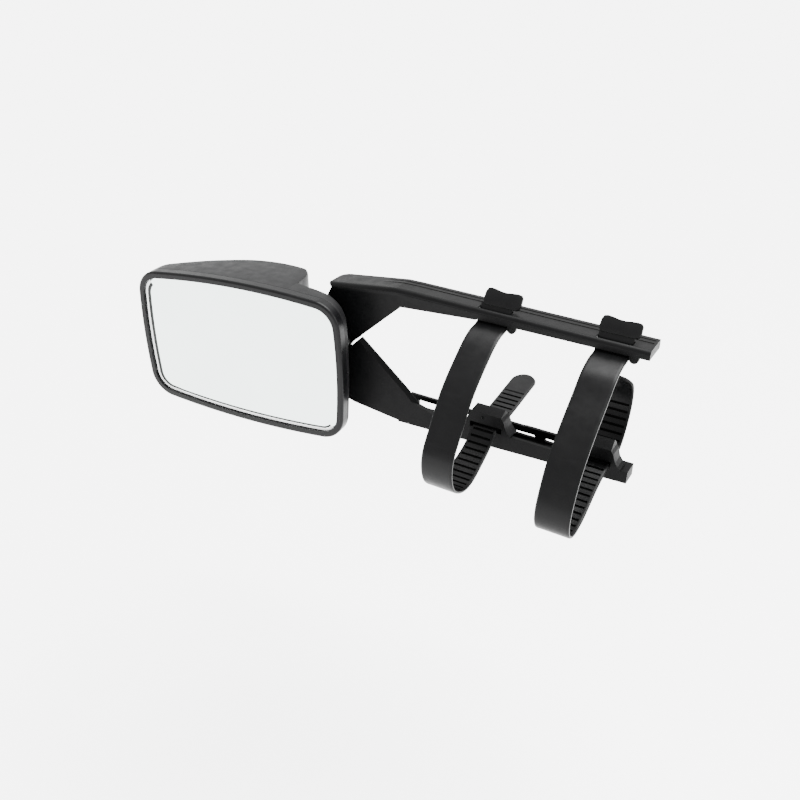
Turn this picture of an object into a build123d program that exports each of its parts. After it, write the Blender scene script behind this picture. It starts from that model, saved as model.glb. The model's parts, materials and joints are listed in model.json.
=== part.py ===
"""Clip-on towing mirror: a mirror head on a ball joint, two jaw arms and two ratchet straps.

Frame: +Z up, the glass faces -Y, the rails run along +X, millimetres.  The origin lies on the
bearing face of the upper rail, half way between the two straps.
"""

import os
from math import atan2, cos, degrees, radians, sin

from build123d import *

# ---------------------------------------------------------------- jaw pivot and rails
PIVOT_X = -199.0
PIVOT_Z = -47.0
BOSS_R = 20.0
BOLT_R = 4.0
RUNNING = 0.06
RAIL_END = 75.0
RAIL_START = -118.0
RAIL_HALF = 12.0
RAIL_WALL = 2.8
UPPER_TOP_LEFT = 10.6
UPPER_TOP_RIGHT = 8.0
UPPER_SKIN = 3.2
GRIP_PROUD = 1.2
SHOULDER_R = 3.6
RIDGE_Y = (2.5, 7.5)
RIDGE_H = 0.35
LOWER_START = -129.0
LOWER_END = 72.0
LOWER_RIM = -94.0
LOWER_FLOOR_LEFT = -111.6
LOWER_FLOOR_RIGHT = -104.0
LOWER_SKIN = 3.0
TONGUE_X = 61.0
CHANNEL_END = 53.0
LAND_X = (-21.0, 20.0)
LAND_H = 0.4
CREST_CHAMFER = 3.0
TONGUE_Y = 3.0
STRAP_X = (-46.6, 47.5)
BUCKLE_X = (-45.5, 44.8)

# ---------------------------------------------------------------- layers clamped by the pivot bolt
BOLT_HEAD_R = 8.0
BOLT_HEAD_Y = (-13.4, -10.6)
LOWER_PLATE_Y = (-12.0, -8.0)
WASHER_A_Y = (-8.0, -7.4)
UPPER_WEB_Y = (-7.4, -4.2)
WASHER_B_Y = (-4.2, -3.6)
EYE_Y = (-3.6, 2.0)
FLAT_WASHER_Y = (2.0, 3.6)
SPRING_WASHER_Y = (3.6, 5.6)
KNOB_Y = (5.7, 24.2)
BOLT_END_Y = 20.0

# ---------------------------------------------------------------- mirror head
HEAD_CENTRE = (-273.2, -47.4, -68.8)
HEAD_YAW = 4.5
HEAD_SHIFT = 0.2
HEAD_HALF_W = 106.2
HEAD_HALF_H = 68.2
HEAD_TAPER = 2.2
BOW_X = 3.4
BOW_Z = 6.5
CORNER_R = 24.0
BEZEL_DEPTH = 9.0
GLASS_FRONT = 2.5
GLASS_T = 3.0
FOAM_T = 1.0
CARRIER_T = 3.0
BOSS_START = GLASS_FRONT + GLASS_T + FOAM_T + CARRIER_T + 0.2
RIM = 5.5
GLASS_LIP = 1.5
SHELL_T = 2.6
SHELL_PLAN = ((-107, -10), (-107, 10), (-99.5, 15.5), (-80, 26), (-40, 44), (-4, 55.5), (18, 57.5), (39, 56),
              (47, 49), (50.5, 39.5), (52, 26), (74, 23.5), (103, 17), (108, 13), (108, -10))
BALL = (25.0, 37.0, 13.8)
BALL_R = 7.0
LINER_R = 9.0
CUP_HALF = 13.0
CUP_X = (12.0, 28.5)
CAP_X = (28.6, 31.0)
PAD_Y = 50.0
SHANK_R = 2.9
KNEE = (-226.0, -0.7, -51.5)
SCREW_R = 1.5

# ---------------------------------------------------------------- straps and buckles
STRAP_W = 26.0
STRAP_T = 2.2
STRAP_1_PATH = ((-2.7, 12), (-4.9, 7.6), (-6.2, 3), (-8.2, 0), (-12, -2), (-18, -2.8), (-26, -5), (-40.5, -14),
                (-54, -24.5), (-66, -35.8), (-83.5, -60.2), (-92, -74), (-93.5, -88), (-89, -101.5), (-80, -109.5),
                (-66.6, -113.8), (-53, -113), (-43, -110), (-32.6, -106), (-24, -101.3), (-17.5, -95.6),
                (-11, -91.2), (0, -90.7), (12, -90.4), (41, -87), (72, -83))
STRAP_2_PATH = ((-2.7, 12), (-4.9, 7.6), (-6.2, 3), (-8.2, 0), (-12, -2), (-18, -2.4), (-25, -3.8), (-34.2, -7.7),
                (-46.2, -17.5), (-58.4, -27.4), (-70, -37.4), (-89.6, -59), (-95.2, -70), (-99.8, -82),
                (-100.2, -94), (-95, -103), (-86, -106), (-76, -105), (-62, -101.2), (-44, -97), (-25, -93.8),
                (-13, -91.4), (0, -90.7), (10, -88.8), (20, -77), (26.5, -60), (25, -44), (17, -32))
TAIL_W = 21.6
TAPER_Y = (-75.0, -22.0)
T_HEAD = (31.0, 13.0, 3.2)
T_HEAD_BASE = (-4.0, 10.9)
T_HEAD_ANGLE = 55.0
T_HEAD_SHIFT = (3.5, 1.5)
BUCKLE_HALF_Y = 12.0
BUCKLE_FRONT_Y = -14.0
BUCKLE_TOP_BACK_Y = -4.5
BUCKLE_BACK_Y = -1.5
BUCKLE_BASE_HALF = 22.0
BUCKLE_TOP_HALF = 12.5
BUCKLE_H = 16.0
BUCKLE_RISE = (2.6, 4.4)
BUCKLE_BASE_T = 1.6
BUCKLE_WALL = 2.4
PASS_HALF = 14.0
PASS_H = 4.4
PAWL_PIN_R = 1.5
PIN_Y = -5.0
PIN_H = 8.0


def span(bounds):
    """Length of a (low, high) pair."""
    return bounds[1] - bounds[0]


def closed(points):
    """Planar face inside a closed run of straight lines."""
    return make_face(Polyline(*points, close=True))


def slab(face, y_range):
    """Extrude an XZ outline between two Y values."""
    return Pos(0, y_range[1], 0) * (Plane.XZ * extrude(face, span(y_range)))


def bar_y(x, z, radius, y_range):
    """Round bar along Y."""
    return slab(Pos(x, z) * Circle(radius), y_range)


def bar_x(y, z, radius, x_range):
    """Round bar along X."""
    return Pos(x_range[0], 0, 0) * (Plane.YZ * extrude(Pos(y, z) * Circle(radius), span(x_range)))


def block(x_range, y_range, z_range):
    """Box between three pairs of limits."""
    size = Box(span(x_range), span(y_range), span(z_range))
    return Pos(sum(x_range) / 2, sum(y_range) / 2, sum(z_range) / 2) * size


def along(x, left, right, z_left, z_right):
    """Height of a straight sloping line at x."""
    return z_left + (z_right - z_left) * (x - left) / (right - left)


def upper_top(x):
    """Height of the outer face of the upper rail."""
    return along(x, RAIL_START, RAIL_END, UPPER_TOP_LEFT, UPPER_TOP_RIGHT)


def lower_floor(x):
    """Height of the outer face of the lower rail."""
    return along(x, LOWER_START, LOWER_END, LOWER_FLOOR_LEFT, LOWER_FLOOR_RIGHT)


# ---------------------------------------------------------------- arms
def upper_arm():
    """Ridged rail with a triangular web that reaches the pivot."""
    flange = ((-197, 2.4), (-132, 10.5), (RAIL_START, UPPER_TOP_LEFT), (RAIL_END, UPPER_TOP_RIGHT),
              (RAIL_END, GRIP_PROUD), (-112, GRIP_PROUD), (-128, 5.2), (-193, -1.8))
    body = slab(closed(flange), (-RAIL_HALF, RAIL_HALF))
    corner = Pos(-197, RAIL_HALF) * (Rectangle(16, 16) - Pos(8, -8) * Circle(8))
    body -= Pos(0, 0, -10) * extrude(corner, 20)
    shoulder = body.edges().filter_by(lambda e: e.center().Y < -RAIL_HALF + 0.1 and e.center().Z > 6)
    body = fillet(shoulder.filter_by(lambda e: e.length > 12), SHOULDER_R)
    cavity = ((-106, -1), (RAIL_END - 3, -1), (RAIL_END - 3, UPPER_TOP_RIGHT - UPPER_SKIN),
              (-100, UPPER_TOP_LEFT - UPPER_SKIN), (-106, 4))
    body -= slab(closed(cavity), (-RAIL_HALF + RAIL_WALL, RAIL_HALF - RAIL_WALL))
    web = ((-195, 1), (-132, 8), (-62, 7), (-62, -1.8), (-70, -2.3), (-129.5, -6.5), (-167.7, -40.6),
           (-177.4, -49.6), (PIVOT_X + 13.5, PIVOT_Z - 14.7), (PIVOT_X - 19.6, PIVOT_Z + 4))
    body += slab(closed(web), UPPER_WEB_Y)
    body += bar_y(PIVOT_X, PIVOT_Z, BOSS_R, UPPER_WEB_Y)
    for y in RIDGE_Y:
        ridge = ((-188, 3), (-132, 10.5 + RIDGE_H), (RAIL_START, UPPER_TOP_LEFT + RIDGE_H),
                 (RAIL_END - 2, upper_top(RAIL_END) + RIDGE_H), (RAIL_END - 2, 7.5), (-132, 9), (-188, 2.4))
        body += slab(closed(ridge), (y, y + 0.8))
    for x in STRAP_X:
        body -= block((x - STRAP_W / 2 - 0.6, x + STRAP_W / 2 + 0.6), (-8.9, -1.6), (2, 14))
        body += bar_y(x + STRAP_W / 2 + 3.4, -0.6, 3.6, (-RAIL_HALF + 0.2, -RAIL_HALF + RAIL_WALL))
    return body - bar_y(PIVOT_X, PIVOT_Z, BOLT_R + RUNNING, (-20, 20))


def lower_arm():
    """Channel rail whose front wall widens into the plate that carries the pivot."""
    outline_points = ((-176.9, -52), (-166.1, -41.4), (-121.4, -78.7), (-109.6, -90.5), (-96.5, LOWER_RIM),
                      (-95, lower_floor(-95)), (-103, -110.7), (-117, -111.3), (-133.2, -110),
                      (-173.8, -105.5), (-190, -101), (PIVOT_X - 19.6, PIVOT_Z - 6))
    plate = slab(closed(outline_points), LOWER_PLATE_Y)
    crest = plate.edges().filter_by(lambda e: e.center().Y < LOWER_PLATE_Y[0] + 0.1 and e.center().Z > -87)
    plate = chamfer(crest.filter_by(lambda e: e.center().X > -160), CREST_CHAMFER)
    side = ((LOWER_START, LOWER_RIM), (LOWER_END, LOWER_RIM), (LOWER_END, lower_floor(LOWER_END)),
            (LOWER_START, lower_floor(LOWER_START)))
    body = slab(closed(side), (-RAIL_HALF, RAIL_HALF))
    for end, back in ((CHANNEL_END, RAIL_HALF - RAIL_WALL), (TONGUE_X, TONGUE_Y - RAIL_WALL)):
        cavity = ((LOWER_START - 1, lower_floor(LOWER_START) + LOWER_SKIN), (end, lower_floor(end) + LOWER_SKIN),
                  (end, LOWER_RIM + 1), (LOWER_START - 1, LOWER_RIM + 1))
        body -= slab(closed(cavity), (-RAIL_HALF + RAIL_WALL, back))
    body -= block((CHANNEL_END + 3, LOWER_END + 1), (TONGUE_Y, RAIL_HALF + 1), (-120, LOWER_RIM + 1))
    body += block(LAND_X, (RAIL_HALF - RAIL_WALL, RAIL_HALF), (LOWER_RIM - 1, LOWER_RIM + LAND_H))
    body -= block((-121, -72), (RAIL_HALF - 4, RAIL_HALF + 1), (-105.6, -98.3))
    for x, length in ((-22, 21), (9, 24)):
        body -= slab(Pos(x, -101) * SlotOverall(length, 3), (4, 20))
    body += plate
    body += bar_y(PIVOT_X, PIVOT_Z, BOSS_R, LOWER_PLATE_Y)
    body -= bar_y(PIVOT_X, PIVOT_Z, BOLT_HEAD_R + 0.2, BOLT_HEAD_Y)
    return body - bar_y(PIVOT_X, PIVOT_Z, BOLT_R + RUNNING, (-20, 20))


def upper_grips():
    """Three rubber strips that fill the underside of the upper rail."""
    strips = []
    for left, right in ((-100, -64), (-28, 28), (65, 71)):
        height = upper_top(left) - UPPER_SKIN - 1
        front = UPPER_WEB_Y[1] + 0.2 if left < -62 else -8.6
        strips.append(block((left, right), (front, 8.6), (0, height)))
    return strips


# ---------------------------------------------------------------- pivot stack
def pivot_bolt():
    """Round headed bolt through both arms and the eye of the stud."""
    bolt = bar_y(PIVOT_X, PIVOT_Z, BOLT_R, (BOLT_HEAD_Y[1], BOLT_END_Y))
    head = bar_y(PIVOT_X, PIVOT_Z, BOLT_HEAD_R, BOLT_HEAD_Y)
    return bolt + fillet(head.edges().sort_by(Axis.Y)[0], 1.4)


def ring_y(outer, inner, y_range):
    """Flat ring round the pivot bolt."""
    return bar_y(PIVOT_X, PIVOT_Z, outer, y_range) - bar_y(PIVOT_X, PIVOT_Z, inner, (-30, 40))


def friction_washers():
    """Two thin discs between the clamped layers."""
    return [ring_y(13.0, BOLT_R + 0.3, WASHER_A_Y), ring_y(13.0, BOLT_R + 0.3, WASHER_B_Y)]


def spring_washer():
    """Split spring washer."""
    ring = ring_y(7.5, BOLT_R + 0.3, SPRING_WASHER_Y)
    return ring - block((PIVOT_X, PIVOT_X + 10), (0, 20), (PIVOT_Z - 0.6, PIVOT_Z + 0.6))


def clamp_knob():
    """Six-lobed hand knob with a blind hub."""
    low, high = KNOB_Y
    knob = bar_y(PIVOT_X, PIVOT_Z, 13.0, (low + 4, high))
    for index in range(6):
        angle = radians(60 * index)
        knob += bar_y(PIVOT_X + 11.5 * cos(angle), PIVOT_Z + 11.5 * sin(angle), 5.0, (low + 4, high))
    knob += bar_y(PIVOT_X, PIVOT_Z, 10.0, (low, low + 4))
    knob += bar_y(PIVOT_X, PIVOT_Z, 11.0, (high, high + 1.2))
    return knob - bar_y(PIVOT_X, PIVOT_Z, 6.5, (low - 1, low + 9)) - bar_y(PIVOT_X, PIVOT_Z, 4.6, (low, high - 3))


def knob_insert():
    """Threaded metal insert moulded into the knob."""
    low = KNOB_Y[0]
    insert = extrude(RegularPolygon(6.4, 6), 9.0)
    insert = Pos(PIVOT_X, low + 9.0, PIVOT_Z) * (Plane.XZ * insert)
    return insert - bar_y(PIVOT_X, PIVOT_Z, BOLT_R + RUNNING, (low - 1, low + 10))


# ---------------------------------------------------------------- mirror head (local frame: y is depth)
def outline(inset):
    """Bowed outline of the head, a little taller at its inner end, drawn inset from its rim."""
    half_w = HEAD_HALF_W - inset
    half_h = HEAD_HALF_H - inset
    side = half_w - BOW_X
    top = half_h - BOW_Z
    edges = [
        ThreePointArc((-side, -top), (0, -half_h), (side, -top)),
        ThreePointArc((side, -top), (half_w, 0), (side, top + HEAD_TAPER)),
        ThreePointArc((side, top + HEAD_TAPER), (0, half_h), (-side, top - HEAD_TAPER)),
        ThreePointArc((-side, top - HEAD_TAPER), (-half_w, 0), (-side, -top)),
    ]
    face = make_face(edges)
    return Pos(HEAD_SHIFT, 0) * fillet(face.vertices(), CORNER_R - inset)


def plan_solid(inset):
    """Plan of the shell drawn inset from its back, full height."""
    face = closed(SHELL_PLAN)
    if inset:
        face = offset(face, -inset, kind=Kind.INTERSECTION)
    return extrude(face, HEAD_HALF_H + 5, both=True)


def head_shell():
    """Hollow shell with a rear bulge for the ball joint."""
    outer = slab(outline(0), (BEZEL_DEPTH, 60)) & plan_solid(0)
    inner = slab(outline(SHELL_T), (BEZEL_DEPTH - 5, 60)) & plan_solid(SHELL_T)
    bosses = Part()
    for x in (-78, 82):
        for z in (-42, 42):
            bosses += bar_y(x, z, 3.6, (BOSS_START, 60))
    pad = block((6, 34), (PAD_Y, 60), (BALL[2] - 21, BALL[2] + 21))
    body = outer - (inner - bosses - pad)
    for x in (-78, 82):
        for z in (-42, 42):
            body -= bar_y(x, z, SCREW_R, (0, 18.5))
    for z in (-17, 17):
        body -= bar_y(20, BALL[2] + z, SCREW_R, (30, 53))
    return body - block((41, 60), (33, 52), (BALL[2] - 8, BALL[2] + 11))


def bezel():
    """Front ring that carries the glass behind a lip."""
    ring = slab(outline(0), (0, BEZEL_DEPTH - 0.2))
    front = ring.edges().filter_by(lambda e: e.center().Y < 0.1)
    ring = fillet(front, 2.2)
    ring -= slab(outline(RIM), (-1, 20))
    ring -= slab(outline(RIM - GLASS_LIP - 0.4), (GLASS_FRONT, 20))
    return ring


def mirror_glass():
    """Mirror glass seen inside the ring."""
    return slab(outline(RIM - GLASS_LIP), (GLASS_FRONT, GLASS_FRONT + GLASS_T))


def foam_sheet():
    """Adhesive foam between glass and carrier."""
    low = GLASS_FRONT + GLASS_T
    return slab(outline(RIM + 1), (low, low + FOAM_T))


def glass_carrier():
    """Plate that holds the glass, screwed to four bosses."""
    low = GLASS_FRONT + GLASS_T + FOAM_T
    plate = slab(outline(SHELL_T + 1.2), (low, low + CARRIER_T))
    for x in (-78, 82):
        for z in (-42, 42):
            plate -= bar_y(x, z, SCREW_R + RUNNING, (0, 30))
            plate -= bar_y(x, z, 3.0, (0, low + 1.2))
    return plate


def carrier_screws():
    """Four screws that hold the carrier."""
    head_y = GLASS_FRONT + GLASS_T + FOAM_T
    screws = []
    for x in (-78, 82):
        for z in (-42, 42):
            screws.append(bar_y(x, z, SCREW_R, (head_y, 18)) + bar_y(x, z, 2.8, (head_y + 0.1, head_y + 1.2)))
    return screws


def ball(radius):
    """Sphere at the centre of the ball joint."""
    return Pos(*BALL) * (Rot(0, 90, 0) * Sphere(radius))


def cup_corners():
    """Positions of the cap screws round the ball."""
    return [(BALL[1] + 10.3, BALL[2] + 10.3), (BALL[1] - 10.3, BALL[2] - 10.3)]


def socket_cup():
    """Half of the ball socket, screwed to the shell."""
    cup = block(CUP_X, (BALL[1] - CUP_HALF, PAD_Y), (BALL[2] - CUP_HALF, BALL[2] + CUP_HALF))
    cup += block((CUP_X[0], CUP_X[1] - 0.5), (PAD_Y - 4, PAD_Y), (BALL[2] - 20.5, BALL[2] + 20.5))
    for z in (-17, 17):
        cup -= bar_y(20, BALL[2] + z, SCREW_R + RUNNING, (20, 60))
    for y, z in cup_corners():
        cup -= bar_x(y, z, 1.2, (20, 40))
    return cup - ball(LINER_R + RUNNING)


def socket_cap():
    """Ring that closes the socket round the stud."""
    cap = block(CAP_X, (BALL[1] - CUP_HALF, PAD_Y - 0.3), (BALL[2] - CUP_HALF, BALL[2] + CUP_HALF))
    for y, z in cup_corners():
        cap -= bar_x(y, z, 1.2 + RUNNING, (20, 40))
    return cap - ball(LINER_R + RUNNING)


def cap_screws():
    """Two screws through the cap into the cup."""
    screws = []
    for y, z in cup_corners():
        screws.append(bar_x(y, z, 1.2, (20.5, CAP_X[1])) + bar_x(y, z, 2.2, (CAP_X[1], CAP_X[1] + 1.6)))
    return screws


def socket_screws():
    """Two screws that hold the socket cup to the shell."""
    screws = []
    for z in (-17, 17):
        shank = bar_y(20, BALL[2] + z, SCREW_R, (PAD_Y - 4, 52.8))
        screws.append(shank + bar_y(20, BALL[2] + z, 3.0, (PAD_Y - 6, PAD_Y - 4)))
    return screws


def in_head(shape):
    """Move a shape from the frame of the head to the frame of the part."""
    return Pos(*HEAD_CENTRE) * (Rot(0, 0, HEAD_YAW) * shape)


def ball_world():
    """Centre of the ball joint in the frame of the part."""
    yaw = radians(HEAD_YAW)
    x = HEAD_CENTRE[0] + BALL[0] * cos(yaw) - BALL[1] * sin(yaw)
    y = HEAD_CENTRE[1] + BALL[0] * sin(yaw) + BALL[1] * cos(yaw)
    return Vector(x, y, HEAD_CENTRE[2] + BALL[2])


def rod(start, end, radius):
    """Round rod between two points."""
    run = Vector(*end) - Vector(*start)
    return Plane(origin=Vector(*start), z_dir=run) * extrude(Circle(radius), run.length)


def socket_liner():
    """Friction liner between ball and cup."""
    centre = ball_world()
    liner = Pos(*centre) * Sphere(LINER_R) - Pos(*centre) * Sphere(BALL_R + 0.05)
    return liner - rod(centre, centre + (Vector(*KNEE) - centre) * 0.6, 5.6)


def ball_stud():
    """Ball, cranked shank and flat eye in one casting."""
    centre = ball_world()
    knee = Vector(*KNEE)
    pivot = Vector(PIVOT_X, KNEE[1], PIVOT_Z)
    stud = Pos(*centre) * Sphere(BALL_R)
    stud += rod(centre, knee, SHANK_R)
    stud += Pos(*knee) * Sphere(SHANK_R)
    stud += rod(knee, pivot + (knee - pivot).normalized() * 12.0, SHANK_R)
    stud += bar_y(PIVOT_X, PIVOT_Z, 14.0, EYE_Y)
    return stud - bar_y(PIVOT_X, PIVOT_Z, BOLT_R + RUNNING, (-20, 20))


# ---------------------------------------------------------------- straps and buckles
def ribbon(path, width):
    """Flat strap of even thickness that follows a path in the YZ plane."""
    middle = Spline(*path)
    outer = []
    inner = []
    for point in path:
        at = middle.param_at_point(Vector(point[0], point[1], 0))
        tangent = middle.tangent_at(at)
        normal = Vector(-tangent.Y, tangent.X, 0) * (STRAP_T / 2)
        outer.append(Vector(point[0], point[1], 0) + normal)
        inner.append(Vector(point[0], point[1], 0) - normal)
    sides = [Spline(*outer), Line(outer[-1], inner[-1]), Spline(*reversed(inner)), Line(inner[0], outer[0])]
    return Plane.YZ * extrude(make_face(sides), width / 2, both=True)


def tail_sides():
    """Material cut away where a strap narrows towards its tail."""
    half = TAIL_W / 2
    taper = closed(((STRAP_W / 2 + 0.1, TAPER_Y[0]), (half, TAPER_Y[1]), (half, 120), (20, 120), (20, TAPER_Y[0])))
    side = Pos(0, 0, -130) * extrude(taper, 45) + block((half, 20), (5, 120), (-86, -20))
    return side + mirror(side, Plane.YZ)


def strap(path, shift):
    """Strap with a T-shaped end above the rail and a narrower, rounded tail."""
    width, length, thickness = T_HEAD
    head = Box(width, length, thickness, align=(Align.CENTER, Align.MIN, Align.CENTER))
    body = ribbon(path, STRAP_W) - tail_sides()
    body += Pos(shift, *T_HEAD_BASE) * (Rot(T_HEAD_ANGLE, 0, 0) * head)
    run = atan2(path[-1][1] - path[-2][1], path[-1][0] - path[-2][0])
    rounded = Pos(0, -TAIL_W / 2) * SlotOverall(2 * TAIL_W, TAIL_W, rotation=90)
    corner = Rectangle(TAIL_W + 4, TAIL_W) - rounded
    cutter = extrude(Pos(0, -TAIL_W / 2 + 0.2) * corner, 5, both=True)
    body -= Pos(0, path[-1][0], path[-1][1]) * (Rot(degrees(run), 0, 0) * cutter)
    return body.solids().sort_by(SortBy.VOLUME)[-1]


def strap_1():
    """Strap nearer the head."""
    return Pos(STRAP_X[0], 0, 0) * strap(STRAP_1_PATH, T_HEAD_SHIFT[0])


def strap_2():
    """Strap nearer the end of the rails."""
    return Pos(STRAP_X[1], 0, 0) * strap(STRAP_2_PATH, T_HEAD_SHIFT[1])


def buckle(x, rise):
    """Flared bridge over the strap with legs that clip into the rail."""
    base = LOWER_RIM + 0.1
    low = base + BUCKLE_BASE_T
    top = BUCKLE_H + rise
    half = ((BUCKLE_BASE_HALF, 0), (BUCKLE_BASE_HALF, 1.4), (19.6, 3.2), (17.4, 6.4), (15.2, BUCKLE_H - 3),
            (BUCKLE_TOP_HALF + 0.9, BUCKLE_H - 0.4), (BUCKLE_TOP_HALF, top))
    ends = [(x + u, base + v) for u, v in half] + [(x - u, base + v) for u, v in reversed(half)]
    depth = ((BUCKLE_FRONT_Y, base), (BUCKLE_FRONT_Y, base + BUCKLE_H), (BUCKLE_TOP_BACK_Y, base + top),
             (BUCKLE_BACK_Y, base + top - 3), (BUCKLE_BACK_Y, base))
    bridge = Pos(x, 0, 0) * (Plane.YZ * extrude(closed(depth), 30, both=True))
    body = slab(closed(ends), (BUCKLE_FRONT_Y, BUCKLE_BACK_Y)) & bridge
    body += block((x - 17, x + 17), (-BUCKLE_HALF_Y, TONGUE_Y), (base, low))
    body += block((x - 11, x + 11), (TONGUE_Y, BUCKLE_HALF_Y), (base, low))
    body -= block((x - PASS_HALF, x + PASS_HALF), (-30, 30), (low, low + PASS_H))
    body -= block((x - PASS_HALF, x + PASS_HALF), (-30, -RAIL_HALF + RAIL_WALL), (base - 1, low + PASS_H))
    body -= block((x - 10, x + 10), (BUCKLE_FRONT_Y + BUCKLE_WALL, 30), (low, base + BUCKLE_H - BUCKLE_WALL))
    for sign in (-1, 1):
        leg = (x + sign * 13 - 1.6, x + sign * 13 + 1.6)
        body += block(leg, (-8.6, -0.5), (base - 2.6, base + 0.2))
    return body - bar_x(PIN_Y, low + PIN_H, PAWL_PIN_R, (x - 13, x + 13))


def pawl(x):
    """Toothed lever that holds the strap, with a release tab."""
    low = LOWER_RIM + 0.1 + BUCKLE_BASE_T
    profile = ((-7.4, low + 9), (-5.6, low + 9.9), (-3, low + 9.9), (6, low + 7.6), (9.5, low + 7.8),
               (9.5, low + 6.2), (4, low + 5.4), (0.8, low + 4.6), (-0.4, low + 3.8), (-2.4, low + 5.2), (-7.4, low + 6.4))
    lever = Plane.YZ * extrude(closed(profile), 8.6, both=True)
    lever = Pos(x, 0, 0) * lever
    lever -= bar_x(PIN_Y, low + PIN_H, PAWL_PIN_R + RUNNING, (x - 20, x + 20))
    return lever - block((x - 2.4, x + 2.4), (-9, -1.6), (low, low + 12))


def pawl_pins():
    """Cross pins of the two pawls."""
    height = LOWER_RIM + 0.1 + BUCKLE_BASE_T + PIN_H
    return [bar_x(PIN_Y, height, PAWL_PIN_R, (x - 12.8, x + 12.8)) for x in BUCKLE_X]


def pawl_spring(x):
    """Torsion spring on the cross pin, drawn as a sleeve of close coils with one leg."""
    height = LOWER_RIM + 0.1 + BUCKLE_BASE_T + PIN_H
    spring = bar_x(PIN_Y, height, 2.0, (x - 1.8, x + 1.9))
    for index in range(5):
        spring += bar_x(PIN_Y, height, 2.3, (x - 1.8 + 0.75 * index, x - 1.1 + 0.75 * index))
    spring += block((x - 1.8, x - 1.1), (-9.5, PIN_Y), (height - 2.2, height - 1.5))
    return spring - bar_x(PIN_Y, height, PAWL_PIN_R + RUNNING, (x - 9, x + 9))


def save(name, shape):
    """Write one node."""
    solids = shape if isinstance(shape, list) else [shape]
    export_step(Compound(children=[s for item in solids for s in item.solids()]), f"parts/{name}.step")


def main():
    """Write every node of the assembly."""
    os.makedirs("parts", exist_ok=True)
    fixed = {
        "upper_arm": upper_arm(), "lower_arm": lower_arm(), "upper_grips": upper_grips(),
        "pivot_bolt": pivot_bolt(), "friction_washers": friction_washers(),
        "flat_washer": ring_y(9.0, BOLT_R + 0.3, FLAT_WASHER_Y), "spring_washer": spring_washer(),
        "clamp_knob": clamp_knob(), "knob_insert": knob_insert(), "ball_stud": ball_stud(),
        "socket_liner": socket_liner(), "strap_1": strap_1(), "strap_2": strap_2(), "pawl_pins": pawl_pins(),
    }
    for index, x in enumerate(BUCKLE_X, start=1):
        fixed[f"buckle_{index}"] = buckle(x, BUCKLE_RISE[index - 1])
        fixed[f"pawl_{index}"] = pawl(x)
        fixed[f"pawl_spring_{index}"] = pawl_spring(x)
    for name, shape in fixed.items():
        save(name, shape)
    head = {
        "head_shell": head_shell(), "bezel": bezel(), "mirror_glass": mirror_glass(),
        "foam_sheet": foam_sheet(), "glass_carrier": glass_carrier(), "carrier_screws": carrier_screws(),
        "socket_cup": socket_cup(), "socket_cap": socket_cap(), "cap_screws": cap_screws(),
        "socket_screws": socket_screws(),
    }
    for name, shape in head.items():
        solids = shape if isinstance(shape, list) else [shape]
        save(name, [in_head(item) for item in solids])


main()
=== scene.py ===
import json
import math

import bmesh
import bpy
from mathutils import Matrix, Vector


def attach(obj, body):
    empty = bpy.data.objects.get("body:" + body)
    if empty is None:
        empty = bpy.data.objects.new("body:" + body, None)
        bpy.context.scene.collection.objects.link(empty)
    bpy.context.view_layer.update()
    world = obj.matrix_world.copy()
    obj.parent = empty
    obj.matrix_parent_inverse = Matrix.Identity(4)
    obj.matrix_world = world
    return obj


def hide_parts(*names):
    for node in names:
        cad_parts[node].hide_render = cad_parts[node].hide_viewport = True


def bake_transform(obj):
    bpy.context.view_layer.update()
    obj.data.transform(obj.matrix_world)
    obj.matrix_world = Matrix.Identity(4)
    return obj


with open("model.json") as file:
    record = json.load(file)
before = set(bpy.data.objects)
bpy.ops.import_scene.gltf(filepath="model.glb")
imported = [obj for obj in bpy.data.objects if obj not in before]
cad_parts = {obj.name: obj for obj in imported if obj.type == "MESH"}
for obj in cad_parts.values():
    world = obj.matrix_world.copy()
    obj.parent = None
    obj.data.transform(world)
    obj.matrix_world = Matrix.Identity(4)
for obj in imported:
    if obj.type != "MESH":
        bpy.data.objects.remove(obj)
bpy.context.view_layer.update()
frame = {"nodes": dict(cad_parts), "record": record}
NODES = frame["nodes"]

MM = 0.001


# ---------------------------------------------------------------- materials
def shader(name):
    """New material, its node tree and its surface shader."""
    mat = bpy.data.materials.new(name)
    mat.use_nodes = True
    return mat, mat.node_tree, mat.node_tree.nodes["Principled BSDF"]


def coords(tree, stretch=(1, 1, 1)):
    """Object coordinates, stretched along the axes."""
    source = tree.nodes.new("ShaderNodeTexCoord")
    mapping = tree.nodes.new("ShaderNodeMapping")
    mapping.inputs["Scale"].default_value = stretch
    tree.links.new(source.outputs["Object"], mapping.inputs["Vector"])
    return mapping.outputs["Vector"]


def noise(tree, scale, detail=2.0, stretch=(1, 1, 1)):
    """Noise value in object space."""
    node = tree.nodes.new("ShaderNodeTexNoise")
    node.inputs["Scale"].default_value = scale
    node.inputs["Detail"].default_value = detail
    tree.links.new(coords(tree, stretch), node.inputs["Vector"])
    return node.outputs["Fac"]


def ranged(tree, value, new_low, new_high, low=0.3, high=0.7):
    """Map a noise value, which mostly lies between low and high, to another range, clamped."""
    node = tree.nodes.new("ShaderNodeMapRange")
    node.inputs["From Min"].default_value = low
    node.inputs["From Max"].default_value = high
    node.inputs["To Min"].default_value = new_low
    node.inputs["To Max"].default_value = new_high
    tree.links.new(value, node.inputs["Value"])
    return node.outputs["Result"]


def mixed(tree, factor, first, second):
    """Blend two colours; each is a socket or a plain colour."""
    node = tree.nodes.new("ShaderNodeMix")
    node.data_type = "RGBA"
    tree.links.new(factor, node.inputs[0])
    for index, colour in ((6, first), (7, second)):
        if isinstance(colour, bpy.types.NodeSocket):
            tree.links.new(colour, node.inputs[index])
        else:
            node.inputs[index].default_value = (*colour, 1)
    return node.outputs[2]


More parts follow.
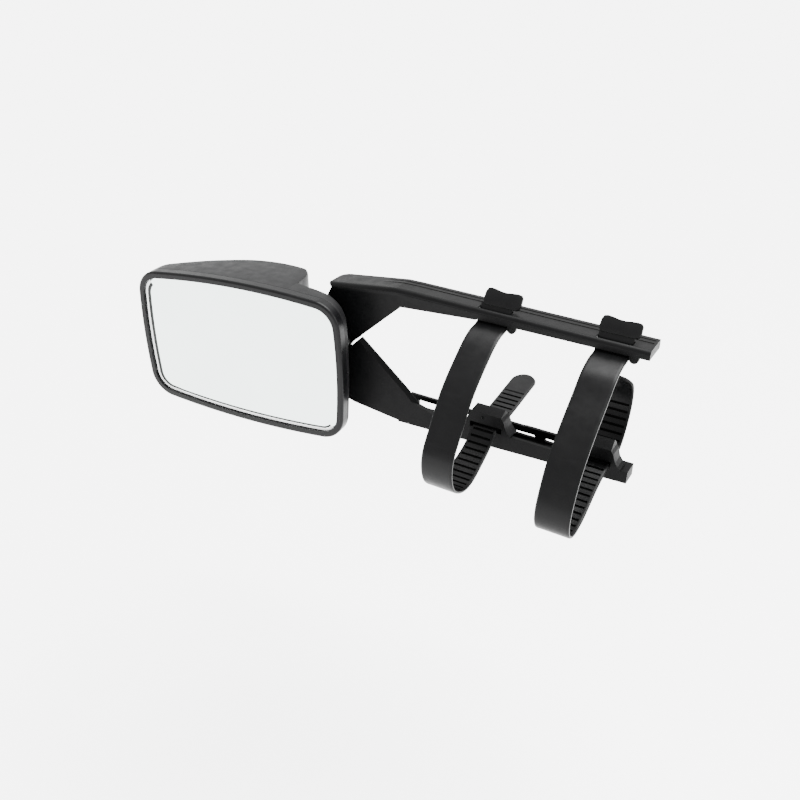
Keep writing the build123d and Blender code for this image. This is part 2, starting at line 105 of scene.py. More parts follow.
def bumped(tree, height, strength, distance, normal=None):
    """Bump from a height value."""
    node = tree.nodes.new("ShaderNodeBump")
    node.inputs["Strength"].default_value = strength
    node.inputs["Distance"].default_value = distance
    tree.links.new(height, node.inputs["Height"])
    if normal is not None:
        tree.links.new(normal, node.inputs["Normal"])
    return node.outputs["Normal"]


def tint(colour, gain):
    """Colour made lighter or darker."""
    return tuple(min(1.0, part * gain) for part in colour)


def surface(name, colour, rough, grain=2400.0, grain_strength=0.10, mottle=0.22, scuff=0.35,
            metallic=0.0, specular=0.5):
    """Moulded or metal surface: mottled colour, faint scuffs, grain and uneven gloss."""
    mat, tree, bsdf = shader(name)
    cloud = ranged(tree, noise(tree, scale=14, detail=4), 0, 1)
    body = mixed(tree, cloud, tint(colour, 1 - mottle), tint(colour, 1 + mottle))
    rub = noise(tree, scale=70, detail=6, stretch=(0.35, 1.6, 1.6))
    worn = ranged(tree, rub, 0, scuff, low=0.60, high=0.74)
    tree.links.new(mixed(tree, worn, body, tint(colour, 2.2)), bsdf.inputs["Base Color"])
    gloss = noise(tree, scale=130, detail=3)
    tree.links.new(ranged(tree, gloss, rough - 0.05, rough + 0.07), bsdf.inputs["Roughness"])
    fine = bumped(tree, noise(tree, scale=grain), grain_strength, distance=0.00015)
    wavy = bumped(tree, noise(tree, scale=24), strength=0.05, distance=0.002, normal=fine)
    tree.links.new(wavy, bsdf.inputs["Normal"])
    bsdf.inputs["Metallic"].default_value = metallic
    bsdf.inputs["Specular IOR Level"].default_value = specular
    return mat


def glass_surface(name, colour, rough):
    """Silvered glass with a trace of haze."""
    mat, tree, bsdf = shader(name)
    haze = ranged(tree, noise(tree, scale=22, detail=4), 0, 1)
    tone = mixed(tree, haze, tint(colour, 0.975), tint(colour, 1.01))
    tree.links.new(tone, bsdf.inputs["Base Color"])
    smear = noise(tree, scale=160, detail=4)
    tree.links.new(ranged(tree, smear, rough, rough + 0.03), bsdf.inputs["Roughness"])
    ripple = bumped(tree, noise(tree, scale=9), strength=0.02, distance=0.001)
    tree.links.new(ripple, bsdf.inputs["Normal"])
    bsdf.inputs["Metallic"].default_value = 1.0
    return mat


MATERIALS = {
    "black_plastic": surface("black_plastic", (0.0014, 0.0014, 0.0015), 0.41, specular=0.062),
    "shell_plastic": surface("shell_plastic", (0.0032, 0.0032, 0.0034), 0.44, grain=1700,
                             grain_strength=0.22, specular=0.095),
    "bezel_plastic": surface("bezel_plastic", (0.0020, 0.0020, 0.0022), 0.30, grain_strength=0.05,
                             specular=0.095),
    "buckle_plastic": surface("buckle_plastic", (0.0011, 0.0011, 0.0012), 0.40, specular=0.040),
    "strap_plastic": surface("strap_plastic", (0.0016, 0.0016, 0.0017), 0.34, grain_strength=0.05,
                             specular=0.085),
    "mirror_glass": glass_surface("mirror_glass", (0.66, 0.715, 0.70), 0.04),
    "foam": surface("foam", (0.04, 0.04, 0.04), 0.85, grain=900, grain_strength=0.5),
    "nylon": surface("nylon", (0.06, 0.06, 0.064), 0.5),
    "nylon_liner": surface("nylon_liner", (0.60, 0.58, 0.52), 0.45, mottle=0.06, scuff=0.1),
    "cast_stud": surface("cast_stud", (0.13, 0.13, 0.135), 0.42, grain=700, grain_strength=0.3,
                         metallic=0.9, mottle=0.12, scuff=0.15),
    "zinc_steel": surface("zinc_steel", (0.56, 0.57, 0.59), 0.30, metallic=1.0, mottle=0.08, scuff=0.1),
    "spring_steel": surface("spring_steel", (0.34, 0.35, 0.37), 0.32, metallic=1.0, mottle=0.1, scuff=0.1),
    "brass": surface("brass", (0.70, 0.52, 0.25), 0.30, metallic=1.0, mottle=0.08, scuff=0.1),
    "fibre": surface("fibre", (0.23, 0.11, 0.06), 0.7, grain=900, grain_strength=0.4),
    "rubber": surface("rubber", (0.006, 0.006, 0.006), 0.72, grain=800, grain_strength=0.4),
}
# Near-white matt colour for the bevel's bottom and outer end: a painted highlight in place of the reflection
# there.
BEVEL_PAINTED_HIGHLIGHT = surface("bevel_glass_painted_highlight", (0.93, 0.94, 0.935), 0.5, grain=1500, mottle=0.02, scuff=0.05)
# Near-black colour for the band at the rim and the line where bevel and flat face meet: painted shade.
GLASS_EDGE_PAINTED_SHADE = surface("glass_edge_painted_shade", (0.012, 0.013, 0.013), 0.4, scuff=0.1, specular=0.1)
# Near-black colour for the bottoms of the strap's grooves: painted shade in the recesses.
GROOVE_PAINTED_SHADE = surface("strap_groove_painted_shade", (0.0006, 0.0006, 0.0006), 0.6, specular=0.02)
# Darker, less glossy copy of black_plastic for the lower arm: painted shade.
LOWER_ARM_PAINTED_SHADE = surface("black_plastic_lower_painted_shade", (0.0013, 0.0013, 0.0014), 0.46, specular=0.040)

for entry in frame["record"]["subparts"]:
    node_ob = NODES[entry["node"]]
    node_ob.data.materials.clear()
    node_ob.data.materials.append(MATERIALS[entry["material_slot"]])
# The lower arm gets the darker copy instead of its own black plastic: painted shade.
NODES["lower_arm"].data.materials[0] = LOWER_ARM_PAINTED_SHADE


# ---------------------------------------------------------------- mesh helpers
def new_object(name, verts, faces, slot, smooth=True):
    """Mesh object from plain lists."""
    mesh = bpy.data.meshes.new(name)
    mesh.from_pydata([tuple(v) for v in verts], [], faces)
    mesh.validate()
    made = bpy.data.objects.new(name, mesh)
    bpy.context.scene.collection.objects.link(made)
    mesh.materials.append(MATERIALS[slot])
    for poly in mesh.polygons:
        poly.use_smooth = smooth
    return made


def ring_faces(rings, count, keep=None):
    """Quads between neighbouring closed rings of equal length."""
    faces = []
    for ring in range(rings - 1):
        low = ring * count
        high = low + count
        for i in range(count):
            if keep is None or keep(i):
                k = (i + 1) % count
                faces.append((low + i, low + k, high + k, high + i))
    return faces


def face_outward(mesh, sharp, merge=0.0):
    """Turn all faces outward, mark edges sharper than an angle and, if asked, merge close points."""
    bm = bmesh.new()
    bm.from_mesh(mesh)
    if merge:
        bmesh.ops.remove_doubles(bm, verts=bm.verts, dist=merge * MM)
    bmesh.ops.recalc_face_normals(bm, faces=bm.faces)
    bm.to_mesh(mesh)
    bm.free()
    mesh.set_sharp_from_angle(angle=math.radians(sharp))


def smooth_step(value):
    """Ease between 0 and 1."""
    value = min(1.0, max(0.0, value))
    return value * value * (3 - 2 * value)


EDGE_ROUND = {"upper_arm": 0.45, "lower_arm": 0.45, "buckle_1": 0.5, "buckle_2": 0.5, "clamp_knob": 0.8,
              "pawl_1": 0.25, "pawl_2": 0.25, "socket_cup": 0.4}
FLAT_ANGLE = math.radians(1.5)
EDGE_ANGLE = math.radians(32)


def soften(ob, width):
    """Round the edges of a CAD node with modifiers."""
    flat = ob.modifiers.new("flat", "DECIMATE")
    flat.decimate_type = "DISSOLVE"
    flat.angle_limit = FLAT_ANGLE
    round_off = ob.modifiers.new("round", "BEVEL")
    round_off.width = width * MM
    round_off.segments = 2
    round_off.limit_method = "ANGLE"
    round_off.angle_limit = EDGE_ANGLE
    round_off.harden_normals = True


for node_name, round_width in EDGE_ROUND.items():
    soften(NODES[node_name], round_width)


# ---------------------------------------------------------------- straps
STRAP_W = 26.0
STRAP_T = 2.2
TAIL_W = 21.6
PITCH = 6.0
GROOVE = 2.1
GROOVE_SIDE = 0.12
GROOVE_START = 0.1
GROOVE_DEPTH = 1.15
TEETH_FROM = 150.0
PLAIN_TIP = 27.5
TIP_STEPS = 18
TIP_GAP = 0.3
LAND_STEPS = 5
# A strap's path, as (y, z) points from its T-head to its tip.
PATHS = {
    "strap_1": ((-2.7, 12), (-4.9, 7.6), (-6.2, 3), (-8.2, 0), (-12, -2), (-18, -2.8), (-26, -5),
                (-40.5, -14), (-54, -24.5), (-66, -35.8), (-83.5, -60.2), (-92, -74), (-93.5, -88),
                (-89, -101.5), (-80, -109.5), (-66.6, -113.8), (-53, -113), (-43, -110), (-32.6, -106),
                (-24, -101.3), (-17.5, -95.6), (-11, -91.2), (0, -90.7), (12, -90.4), (41, -87), (72, -83)),
    "strap_2": ((-2.7, 12), (-4.9, 7.6), (-6.2, 3), (-8.2, 0), (-12, -2), (-18, -2.4), (-25, -3.8),
                (-34.2, -7.7), (-46.2, -17.5), (-58.4, -27.4), (-70, -37.4), (-89.6, -59), (-95.2, -70),
                (-99.8, -82), (-100.2, -94), (-95, -103), (-86, -106), (-76, -105), (-62, -101.2),
                (-44, -97), (-25, -93.8), (-13, -91.4), (0, -90.7), (10, -88.8), (20, -77), (26.5, -60),
                (25, -44), (17, -32)),
}
STRAP_X = {"strap_1": -46.6, "strap_2": 47.5}
# The strap is full width down to the bottom of its loop, narrows over TAPER_Y on its way to the buckle,
# and stays narrow behind it.
TAPER_BELOW = -88.0
TAPER_Y = (-75.0, -22.0)
TAIL_BEHIND = 5.0
# Places across the strap, as shares of its half width: the edges are round and the grooves stop short.
ACROSS = (-1.0, -0.97, -0.90, -0.81, -0.79, -0.4, 0.0, 0.4, 0.79, 0.81, 0.90, 0.97, 1.0)
ROUND_FROM = 0.9
EDGE_THIN = 0.8
GROOVE_TO = 0.8
THINNEST = 0.3


def bends_of(values, gaps):
    """Second derivatives of a natural cubic through values that lie gaps apart."""
    count = len(values)
    lower, diag, upper, right = [0.0] * count, [1.0] * count, [0.0] * count, [0.0] * count
    for i in range(1, count - 1):
        lower[i] = gaps[i - 1]
        diag[i] = 2 * (gaps[i - 1] + gaps[i])
        upper[i] = gaps[i]
        slope_after = (values[i + 1] - values[i]) / gaps[i]
        slope_before = (values[i] - values[i - 1]) / gaps[i - 1]
        right[i] = 6 * (slope_after - slope_before)
    for i in range(1, count):
        ratio = lower[i] / diag[i - 1]
        diag[i] -= ratio * upper[i - 1]
        right[i] -= ratio * right[i - 1]
    bends = [0.0] * count
    bends[-1] = right[-1] / diag[-1]
    for i in range(count - 2, -1, -1):
        bends[i] = (right[i] - upper[i] * bends[i + 1]) / diag[i]
    return bends


def natural_spline(points, per_span=24):
    """Smooth curve through points, sampled; chord-length cubic with natural ends."""
    pts = [Vector(p) for p in points]
    gaps = [(second - first).length for first, second in zip(pts, pts[1:])]
    bends_y = bends_of([p.x for p in pts], gaps)
    bends_z = bends_of([p.y for p in pts], gaps)
    bends = [Vector(pair) for pair in zip(bends_y, bends_z)]
    curve = []
    for i, gap in enumerate(gaps):
        for step in range(per_span):
            t = step / per_span
            s = 1 - t
            sag = bends[i] * (s ** 3 - s) + bends[i + 1] * (t ** 3 - t)
            curve.append(pts[i] * s + pts[i + 1] * t + sag * (gap * gap / 6))
    curve.append(pts[-1])
    return curve


def strap_stations(total):
    """Distances along the strap where its section is drawn: close at each groove and round the tip."""
    straight = total - TAIL_W / 2
    stations = []
    place = 0.0
    while place < straight:
        stations += [place + rise for rise in (0, GROOVE_SIDE, GROOVE / 2, GROOVE - GROOVE_SIDE, GROOVE)]
        stations += [place + GROOVE + (PITCH - GROOVE) * step / LAND_STEPS for step in range(1, LAND_STEPS)]
        place += PITCH
    stations = [s for s in stations if s < straight]
    start = stations[-1] + TIP_GAP
    turns = [math.pi / 2 * i / TIP_STEPS for i in range(1, TIP_STEPS + 1)]
    return stations + [start + (total - start) * math.sin(turn) for turn in turns]


def half_width(y, z, left):
    """Half the strap's width at a point of its path, with the length left to the round tip."""
    tail = TAIL_W / 2
    if left < tail:
        return max(THINNEST, math.sqrt(max(0.0, tail ** 2 - (tail - left) ** 2)))
    if z < TAPER_BELOW:
        return STRAP_W / 2 + (tail - STRAP_W / 2) * smooth_step((y - TAPER_Y[0]) / (TAPER_Y[1] - TAPER_Y[0]))
    return tail if y > TAIL_BEHIND else STRAP_W / 2


def strap_section(half, cut):
    """Section of the strap as (across, off) pairs: the outer side, then the inner side with a groove."""
    def edge(u):
        past = max(0.0, abs(u) - ROUND_FROM) / (1 - ROUND_FROM)
        return math.sqrt(1 - EDGE_THIN * past ** 2)

    thin = STRAP_T / 2
    outer = [(u * half, thin * edge(u)) for u in ACROSS]
    inner = [(u * half, -(thin - (cut if abs(u) < GROOVE_TO else 0.0)) * edge(u)) for u in reversed(ACROSS)]
    return outer + inner


def strap_mesh(name):
    """Strap with cross grooves on its inner side; returns points, faces and the grooves' faces."""
    curve = natural_spline(PATHS[name])
    lengths = [0.0]
    for first, second in zip(curve, curve[1:]):
        lengths.append(lengths[-1] + (second - first).length)
    total = lengths[-1]
    stations = strap_stations(total)
    verts, cuts = [], []
    cursor = 0
    for s in stations:
        while cursor < len(lengths) - 2 and lengths[cursor + 1] < s:
            cursor += 1
        t = (s - lengths[cursor]) / max(1e-9, lengths[cursor + 1] - lengths[cursor])
        point = curve[cursor].lerp(curve[cursor + 1], min(1.0, t))
        tangent = (curve[min(len(curve) - 1, cursor + 2)] - curve[max(0, cursor - 1)]).normalized()
        normal = Vector((tangent.y, -tangent.x))
        toothed = TEETH_FROM < s < total - PLAIN_TIP
        in_groove = GROOVE_START < s % PITCH < GROOVE - GROOVE_START
        cuts.append(GROOVE_DEPTH if toothed and in_groove else 0.0)
        for across, off in strap_section(half_width(point.x, point.y, total - s), cuts[-1]):
            where = point + normal * off
            verts.append(Vector((STRAP_X[name] + across, where.x, where.y)) * MM)
    size = 2 * len(ACROSS)
    faces = ring_faces(len(stations), size)
    grooved = [j for j in range(len(ACROSS), size) if abs(ACROSS[j - len(ACROSS)]) < GROOVE_TO]
    bottoms = [i * size + j for i in range(len(stations) - 1) if cuts[i] and cuts[i + 1] for j in grooved]
    faces.append(tuple(range(size)))
    faces.append(tuple(reversed(range(len(verts) - size, len(verts)))))
    return verts, faces, bottoms


# Outline of a T-head, seen square on: across the strap, and up from its root.
T_OUTLINE = ((-12.4, 0.5), (-14.5, 1.6), (-15.5, 4.4), (-15.3, 9.4), (-14.0, 12.2), (-11.4, 12.9),
             (-7.0, 12.4), (-2.5, 11.5), (2.0, 11.3), (6.5, 11.8), (11.0, 12.1), (13.9, 11.7), (15.2, 10.0),
             (15.5, 4.2), (14.5, 1.4), (12.4, 0.5))
T_MIDDLE = 6.5
T_BASE = (-4.0, 10.9)
T_LEAN = math.radians(55)
T_HALF = 1.6
# Layers through the thickness of the T-head: offset from its middle plane, and size of the outline there.
T_LAYERS = ((-T_HALF, 0.94), (-T_HALF + 0.2, 0.98), (-T_HALF + 0.7, 1.0),
            (T_HALF - 0.7, 1.0), (T_HALF - 0.2, 0.98), (T_HALF, 0.94))
T_SHIFT = {"strap_1": 3.5, "strap_2": 1.5}
T_REACH = {"strap_1": 1.1, "strap_2": 1.0}


def t_head_mesh(x, reach):
    """T-shaped end: a plate with rounded edges and a wavy upper edge, leaning back."""
    verts = []
    for off, shrink in T_LAYERS:
        for u, v in T_OUTLINE:
            along = (T_MIDDLE + (v - T_MIDDLE) * shrink) * reach
            y = T_BASE[0] + along * math.cos(T_LEAN) - off * math.sin(T_LEAN)
            z = T_BASE[1] + along * math.sin(T_LEAN) + off * math.cos(T_LEAN)
            verts.append(Vector((x + u * shrink, y, z)) * MM)
    count = len(T_OUTLINE)
    faces = [tuple(range(count)), tuple(reversed(range(len(verts) - count, len(verts))))]
    return verts, faces + ring_faces(len(T_LAYERS), count)


def build_strap(name):
    """Strap and its T-head as one visual piece."""
    verts, faces, bottoms = strap_mesh(name)
    head_verts, head_faces = t_head_mesh(STRAP_X[name] + T_SHIFT[name], T_REACH[name])
    faces += [tuple(i + len(verts) for i in face) for face in head_faces]
    made = new_object(name + "_visual", verts + head_verts, faces, "strap_plastic")
    # The groove bottoms get the darker material: painted shade.
    made.data.materials.append(GROOVE_PAINTED_SHADE)
    for index in bottoms:
        made.data.polygons[index].material_index = 1
    face_outward(made.data, sharp=34)
    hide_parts(name)
    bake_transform(made)


for strap_name in PATHS:
    build_strap(strap_name)


# ---------------------------------------------------------------- pin heads on the buckles
BUCKLE_X = (-45.5, 44.8)
PIN_HEAD_SHIFT = -3.0
PIN_HEAD_Y = -13.95
PIN_HEAD_Z = -82.2
PIN_HEAD_R = 1.3
PIN_HEAD_RISE = 0.9


def pin_head(name, x):
    """Small dome where a pin ends on the front wall of a buckle."""
    rings, around = 5, 20
    verts = []
    for ring in range(rings):
        angle = math.pi / 2 * ring / rings
        radius = PIN_HEAD_R * math.cos(angle)
        y = PIN_HEAD_Y - PIN_HEAD_RISE * math.sin(angle)
        for i in range(around):
            turn = 2 * math.pi * i / around
            verts.append(Vector((x + radius * math.cos(turn), y, PIN_HEAD_Z + radius * math.sin(turn))) * MM)
    verts.append(Vector((x, PIN_HEAD_Y - PIN_HEAD_RISE, PIN_HEAD_Z)) * MM)
    last = (rings - 1) * around
    faces = ring_faces(rings, around)
    faces += [(last + i, last + (i + 1) % around, len(verts) - 1) for i in range(around)]
    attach(new_object(name, verts, faces, "buckle_plastic"), "lower")


for pin_index, buckle_x in enumerate(BUCKLE_X, start=1):
    pin_head(f"pin_head_{pin_index}", buckle_x + PIN_HEAD_SHIFT)


# ---------------------------------------------------------------- mirror head
YAW = math.radians(4.5)
HEAD_CENTRE = Vector((-273.2, -47.4, -68.8))
HEAD_X = Vector((math.cos(YAW), math.sin(YAW), 0))
HEAD_Y = Vector((-math.sin(YAW), math.cos(YAW), 0))
RIM = 5.5
SHELL_FRONT = 9.0
SHELL_LIP = 0.45
SHELL_T = 2.4
# Radius of the edge between walls and back: tight at the top, and wider further down, from one height
# to the other. It leaves at least a little straight wall in front of it.
ROUND_TOP = 2.4
ROUND_LOW = 6.0
ROUND_Z = (10, -50)
LEAST_WALL = 1
# Back of the shell seen from above: across the head, and back from the glass.
SHELL_PLAN = ((-107, 10), (-99.5, 15.5), (-80, 26), (-40, 44), (-4, 55.5), (18, 57.5), (39, 56), (47, 49),
              (50.5, 39.5), (52, 26), (74, 22.4), (90, 18.8), (103, 15.9), (108, 12.4))
# Opening in the step of the back, where the stud comes in: it starts at x and runs to the step.
OPENING_X = 41
OPENING_Y = (33, 52)
OPENING_Z = (5.8, 24.8)
# Columns of the shell's mesh: extra ones close together at the opening, and the first and the last
# just inside the outline.
OPENING_COLUMNS = 32
COLUMN_STEP = 0.5
COLUMN_END = 0.01
# Heights of the shell's mesh rows above its lower edge and, mirrored, below its upper edge.
EDGE_ROWS = (0.0, 0.12, 0.4, 0.9, 1.6, 2.5, 3.6, 5.0, 7.0, 12, 20, 30)
# Heights of the rows between them, from the middle of the outline.
MIDDLE_ROWS = (-21, OPENING_Z[0] - 10, OPENING_Z[0] - 1, 14, OPENING_Z[1] - 1)
# The rows close up in proportion where half the head's height is less than this.
FULL_HALF = 60
GLASS_FRONT = 2.5
# The glass in (inset, depth) pairs from the head's outline: its flat face, its ground bevel, the painted
# shade of the rim on the bevel, and the painted shade line where bevel and flat face meet.
BEVEL_START = RIM - 1.3
BEVEL_END = 8.9
FACE = ((BEVEL_END, GLASS_FRONT + 0.12), (BEVEL_END + 0.3, GLASS_FRONT + 0.10))
BEVEL = ((BEVEL_START, GLASS_FRONT + 2.9), (BEVEL_START, GLASS_FRONT + 0.9), FACE[0])
RIM_SHADE = ((RIM - 0.6, GLASS_FRONT + 0.66), (RIM + 0.6, GLASS_FRONT + 0.50))
PAINTED_SHADE_LINE = ((BEVEL_END - 0.2, GLASS_FRONT + 0.09), (BEVEL_END + 1.5, GLASS_FRONT + 0.04))
# The painted shade line gets wider towards the outer end of the head, from one x to the other.
WIDE_INSET = BEVEL_END + 3.2
WIDENS_X = (-72, -96)
# The bevel gets a painted highlight and its painted shade line along the bottom, nearly to the inner
# end, and at the outer end.
BRIGHT_BELOW = -20
BRIGHT_TO_X = 98
OUTER_END_X = -95


def to_world(x, y, z):
    """Point of the head's own frame, in metres in the frame of the part."""
    return (HEAD_CENTRE + HEAD_X * x + HEAD_Y * y + Vector((0, 0, z))) * MM


def to_head(point):
    """Point of the part's frame in the head's own frame, millimetres."""
    offset = point / MM - HEAD_CENTRE
    return offset.dot(HEAD_X), offset.dot(HEAD_Y), offset.z


def hull(points):
    """Convex hull, anticlockwise."""
    points = sorted(set(points))
    sides = []
    for run in (points, list(reversed(points))):
        chain = []
        for p in run:
            while len(chain) > 1:
                a, b = chain[-2], chain[-1]
                if (b[0] - a[0]) * (p[1] - a[1]) - (b[1] - a[1]) * (p[0] - a[0]) > 1e-6:
                    break
                chain.pop()
            chain.append(p)
        sides += chain[:-1]
    return sides


def head_outline():
    """Outline of the head, from the front ring."""
    ring = NODES["bezel"]
    points = []
    for vert in ring.data.vertices:
        x, y, z = to_head(ring.matrix_world @ vert.co)
        if y > SHELL_FRONT - 1:
            points.append((round(x, 3), round(z, 3)))
    return hull(points)


OUTLINE = head_outline()


def inset_outline(distance):
    """Outline moved inward."""
    count = len(OUTLINE)
    moved = []
    for i in range(count):
        before, here, after = OUTLINE[i - 1], OUTLINE[i], OUTLINE[(i + 1) % count]
        first = Vector((before[1] - here[1], here[0] - before[0])).normalized()
        second = Vector((here[1] - after[1], after[0] - here[0])).normalized()
        inward = (first + second).normalized()
        reach = distance / max(0.5, inward.dot(first))
        moved.append((here[0] + inward.x * reach, here[1] + inward.y * reach))
    return moved


def edge_distance(x, z):
    """Distance from a point to the outline."""
    best = math.inf
    for i, end in enumerate(OUTLINE):
        start = OUTLINE[i - 1]
        dx, dz = end[0] - start[0], end[1] - start[1]
        t = ((x - start[0]) * dx + (z - start[1]) * dz) / (dx * dx + dz * dz)
        t = min(1.0, max(0.0, t))
        best = min(best, math.hypot(x - start[0] - t * dx, z - start[1] - t * dz))
    return best


def heights(x):
    """Lowest and highest point of the outline at x."""
    crossings = []
    for i, end in enumerate(OUTLINE):
        start = OUTLINE[i - 1]
        low, high = min(start[0], end[0]), max(start[0], end[0])
        if low <= x <= high and high > low:
            crossings.append(start[1] + (end[1] - start[1]) * (x - start[0]) / (end[0] - start[0]))
    return min(crossings), max(crossings)


def monotone(points):
    """Smooth curve through points that never overshoots between them."""
    xs = [float(p[0]) for p in points]
    ys = [float(p[1]) for p in points]
    slopes = [(ys[i + 1] - ys[i]) / (xs[i + 1] - xs[i]) for i in range(len(xs) - 1)]
    grades = [slopes[0]]
    for left, right in zip(slopes, slopes[1:]):
        grades.append(0.0 if left * right <= 0 else 2 * left * right / (left + right))
    grades.append(slopes[-1])

    def value(x):
        i = 0
        while i < len(xs) - 2 and x > xs[i + 1]:
            i += 1
        gap = xs[i + 1] - xs[i]
        t = min(1.0, max(0.0, (x - xs[i]) / gap))
        ends = (2 * t ** 3 - 3 * t ** 2 + 1) * ys[i] + (3 * t ** 2 - 2 * t ** 3) * ys[i + 1]
        return ends + gap * ((t ** 3 - 2 * t ** 2 + t) * grades[i] + (t ** 3 - t ** 2) * grades[i + 1])

    return value


def spread(low, high, count=90, power=2.4):
    """Values between two limits, crowded towards both."""
    values = []
    for i in range(count + 1):
        t = 2 * i / count - 1
        bent = math.copysign(1 - (1 - abs(t)) ** power, t)
        values.append((low + high) / 2 + (high - low) / 2 * bent)
    return values


def shell_column(x, depth):
    """Points of the shell at one x, from the lower lip over the back to the upper lip."""
    low_z, top_z = heights(x)
    size = min(1.0, (top_z - low_z) / 2 / FULL_HALF)
    levels = [low_z + row * size for row in EDGE_ROWS]
    levels += [(low_z + top_z) / 2 + row * size for row in MIDDLE_ROWS]
    levels += [top_z - row * size for row in EDGE_ROWS]
    column = [(x, SHELL_FRONT, low_z), (x, SHELL_FRONT + SHELL_LIP, low_z)]
    for z in sorted(levels):
        fall = smooth_step((ROUND_Z[0] - z) / (ROUND_Z[0] - ROUND_Z[1]))
        wanted = ROUND_TOP + (ROUND_LOW - ROUND_TOP) * fall
        turn = min(wanted, depth - SHELL_FRONT - LEAST_WALL)
        gap = min(turn, edge_distance(x, z))
        column.append((x, depth - turn + math.sqrt(max(0.0, turn ** 2 - (turn - gap) ** 2)), z))
    return column + [(x, SHELL_FRONT + SHELL_LIP, top_z), (x, SHELL_FRONT, top_z)]


def in_opening(points):
    """True where the middle of a face lies in the opening for the stud."""
    x, y, z = [sum(p[axis] for p in points) / len(points) for axis in range(3)]
    return x > OPENING_X and OPENING_Y[0] < y < OPENING_Y[1] and OPENING_Z[0] < z < OPENING_Z[1]


def shell_mesh():
    """Outer skin of the shell: walls that turn into the back in one rounded edge."""
    plan = monotone(SHELL_PLAN)
    low_x = min(p[0] for p in OUTLINE) + COLUMN_END
    high_x = max(p[0] for p in OUTLINE) - COLUMN_END
    stations = spread(low_x, high_x) + [OPENING_X + COLUMN_STEP * i for i in range(OPENING_COLUMNS)]
    columns = [shell_column(x, plan(x)) for x in sorted(set(round(x, 3) for x in stations))]
    verts = [point for column in columns for point in column]
    rows = len(columns[0])
    faces = []
    for i in range(len(columns) - 1):
        for j in range(rows - 1):
            low, high = i * rows + j, (i + 1) * rows + j
            face = (low, high, high + 1, low + 1)
            if not in_opening([verts[k] for k in face]):
                faces.append(face)
    return [to_world(*v) for v in verts], faces


def build_shell():
    """Shell of the head as one skin with a wall."""
    made = new_object("head_shell_visual", *shell_mesh(), "shell_plastic")
    face_outward(made.data, sharp=40, merge=0.02)
    wall = made.modifiers.new("wall", "SOLIDIFY")
    wall.thickness = SHELL_T * MM
    wall.offset = -1
    wall.use_quality_normals = True
    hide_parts("head_shell")
    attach(made, "head")


def band_points(levels):
    """Rings of points that follow the outline; levels are (inset, depth) pairs."""
    return [to_world(x, depth, z) for inset, depth in levels for x, z in inset_outline(inset)]


def build_band(name, levels, material, keep=None):
    """Band round the glass, or the part of it that keep chooses."""
    faces = ring_faces(len(levels), len(OUTLINE), keep)
    made = new_object(name, band_points(levels), faces, "mirror_glass")
    made.data.materials.clear()
    made.data.materials.append(material)
    made.data.set_sharp_from_angle(angle=math.radians(30))
    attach(made, "head")
    return made


def lower_or_left(i):
    """True on the bottom edge and on the outer end of the head, where the bevel gets its painted highlight
    and painted shade line.
    """
    x, z = OUTLINE[i]
    return z < BRIGHT_BELOW and x < BRIGHT_TO_X or x < OUTER_END_X


def upper_or_right(i):
    """True where lower_or_left is not."""
    return not lower_or_left(i)


def build_glass():
    """Glass with a ground bevel round its edge, a painted highlight on the bevel's bottom and outer end, and
    a painted shade line where the bevel starts.
    """
    count = len(OUTLINE)
    faces = ring_faces(2, count) + [tuple(range(count, 2 * count))]
    made = new_object("mirror_glass_visual", band_points(FACE), faces, "mirror_glass", smooth=False)
    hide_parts("mirror_glass")
    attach(made, "head")
    # The bottom and outer end of the bevel get the painted highlight; the rest of the bevel stays mirror
    # glass.
    build_band("glass_bevel_painted_highlight", BEVEL, BEVEL_PAINTED_HIGHLIGHT, lower_or_left)
    build_band("glass_bevel_plain", BEVEL, MATERIALS["mirror_glass"], upper_or_right)
    build_band("glass_edge_shade", RIM_SHADE, GLASS_EDGE_PAINTED_SHADE)
    # Dark line of painted shade where the bevel meets the flat face, on the bottom and outer end.
    line = build_band("glass_bevel_painted_shade_line", PAINTED_SHADE_LINE, GLASS_EDGE_PAINTED_SHADE, lower_or_left)
    for (wide_x, wide_z), vert in zip(inset_outline(WIDE_INSET), line.data.vertices[count:]):
        x, depth, z = to_head(vert.co)
        side = smooth_step((WIDENS_X[0] - x) / (WIDENS_X[0] - WIDENS_X[1]))
        vert.co = to_world(x + (wide_x - x) * side, depth, z + (wide_z - z) * side)


build_shell()
build_glass()


# ---------------------------------------------------------------- camera, light, floor
VIEW_AZ = math.radians(31)
VIEW_EL = math.radians(30)
CAMERA_PLACE = (0.2028, -0.5610, 0.2798)
LENS = 39.15
SENSOR = 36
WORLD_STRENGTH = 2.4
SUN_STRENGTH = 14.5
SUN_ANGLE = math.radians(50)
FLOOR_HALF = 14
FLOOR_Z = -0.45
FLOOR_TONE = 0.95


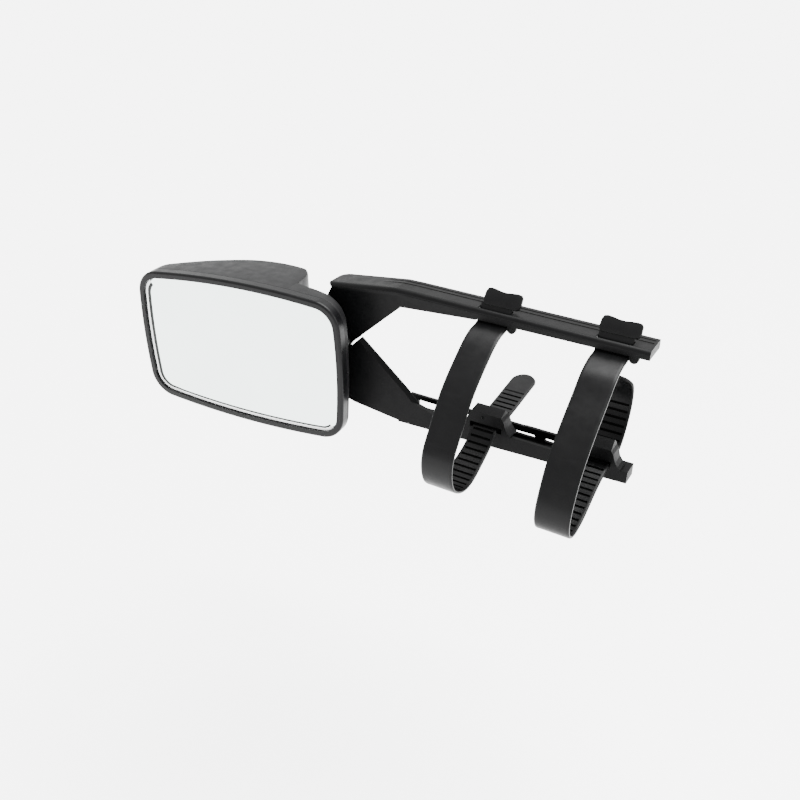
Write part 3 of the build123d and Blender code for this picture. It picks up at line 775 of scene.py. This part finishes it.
def place_camera():
    """Camera at the main view."""
    data = bpy.data.cameras.new("cam")
    data.sensor_width = SENSOR
    data.lens = LENS
    cam = bpy.data.objects.new("cam", data)
    bpy.context.scene.collection.objects.link(cam)
    level = math.cos(VIEW_EL)
    look = Vector((-math.sin(VIEW_AZ) * level, math.cos(VIEW_AZ) * level, -math.sin(VIEW_EL)))
    cam.location = CAMERA_PLACE
    cam.rotation_mode = "QUATERNION"
    cam.rotation_quaternion = look.to_track_quat("-Z", "Y")
    bpy.context.scene.camera = cam


def light_world():
    """Even white light from all round."""
    world = bpy.data.worlds.new("studio")
    bpy.context.scene.world = world
    world.use_nodes = True
    background = world.node_tree.nodes["Background"]
    background.inputs["Color"].default_value = (1, 1, 1, 1)
    background.inputs["Strength"].default_value = WORLD_STRENGTH


def aim(name, data, place, target):
    """Put a lamp in its place and turn it to a target."""
    lamp = bpy.data.objects.new(name, data)
    lamp.location = place
    lamp.rotation_mode = "QUATERNION"
    lamp.rotation_quaternion = (Vector(target) - Vector(place)).to_track_quat("-Z", "Y")
    bpy.context.scene.collection.objects.link(lamp)


def place_lamps():
    """Broad light from above and a soft panel on the right."""
    sun = bpy.data.lights.new("overhead", "SUN")
    sun.energy = SUN_STRENGTH
    sun.angle = SUN_ANGLE
    aim("overhead", sun, place=(0.3, 0.5, 2.0), target=(0, 0, 0))
    panel = bpy.data.lights.new("right", "AREA")
    panel.size = 0.7
    panel.energy = 18
    aim("right", panel, place=(1.1, 0.1, 0.5), target=(-0.1, 0, -0.05))


def lay_floor():
    """Plain pale matt floor."""
    mesh = bpy.data.meshes.new("floor")
    bm = bmesh.new()
    bmesh.ops.create_grid(bm, x_segments=1, y_segments=1, size=FLOOR_HALF)
    bm.to_mesh(mesh)
    bm.free()
    mat, _, bsdf = shader("floor")
    bsdf.inputs["Base Color"].default_value = (FLOOR_TONE, FLOOR_TONE, FLOOR_TONE, 1)
    bsdf.inputs["Roughness"].default_value = 1.0
    bsdf.inputs["Specular IOR Level"].default_value = 0.0
    mesh.materials.append(mat)
    floor = bpy.data.objects.new("floor", mesh)
    floor.location = (0, 0, FLOOR_Z)
    bpy.context.scene.collection.objects.link(floor)


place_camera()
light_world()
place_lamps()
lay_floor()
